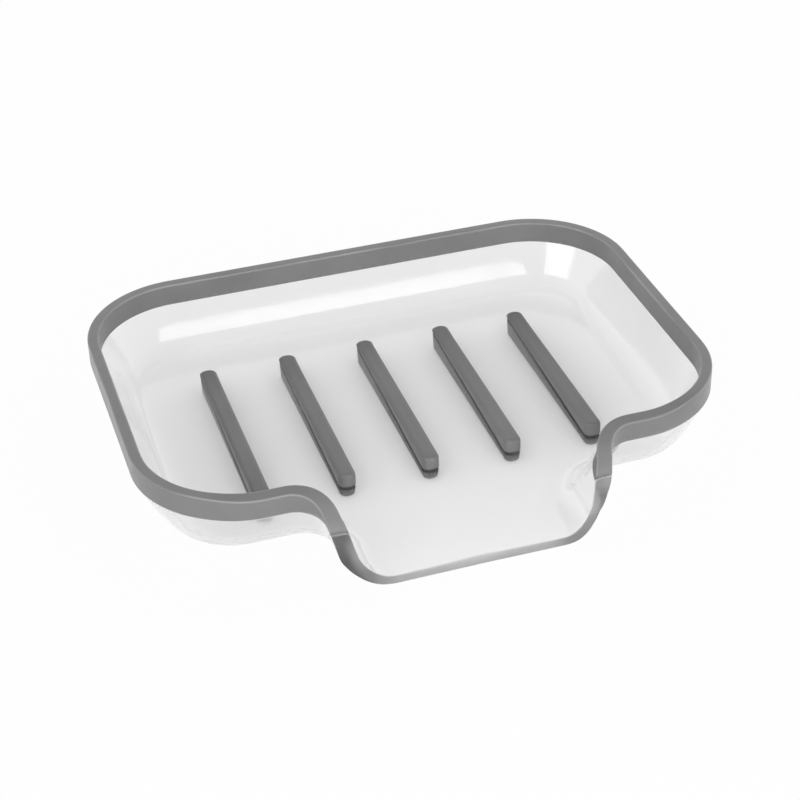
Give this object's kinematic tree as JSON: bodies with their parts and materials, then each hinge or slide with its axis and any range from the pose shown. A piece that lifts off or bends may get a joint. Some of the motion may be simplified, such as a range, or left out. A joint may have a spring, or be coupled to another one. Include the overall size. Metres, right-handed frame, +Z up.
{
  "type": "sponge dish",
  "caption": "Clear moulded draining dish for a sponge, with a soft grey rim band, soft ribs that stand through a sloping floor as feet, and an open pouring spout.",
  "frame": {"origin": "middle of the footprint, on the surface that the dish stands on", "axes": "+X along the long side, +Y to the back, -Y to the spout, +Z up"},
  "size_m": [0.14, 0.1104, 0.022],
  "materials": {
    "clear_plastic": "clear, polished",
    "soft_rim": "soft touch, satin",
    "soft_rib": "soft touch, satin"
  },
  "bodies": {
    "root": {"tray": "clear_plastic", "rim_band": "soft_rim", "rib_1": "soft_rib", "rib_2": "soft_rib", "rib_3": "soft_rib", "rib_4": "soft_rib", "rib_5": "soft_rib"}
  },
  "joints": []
}
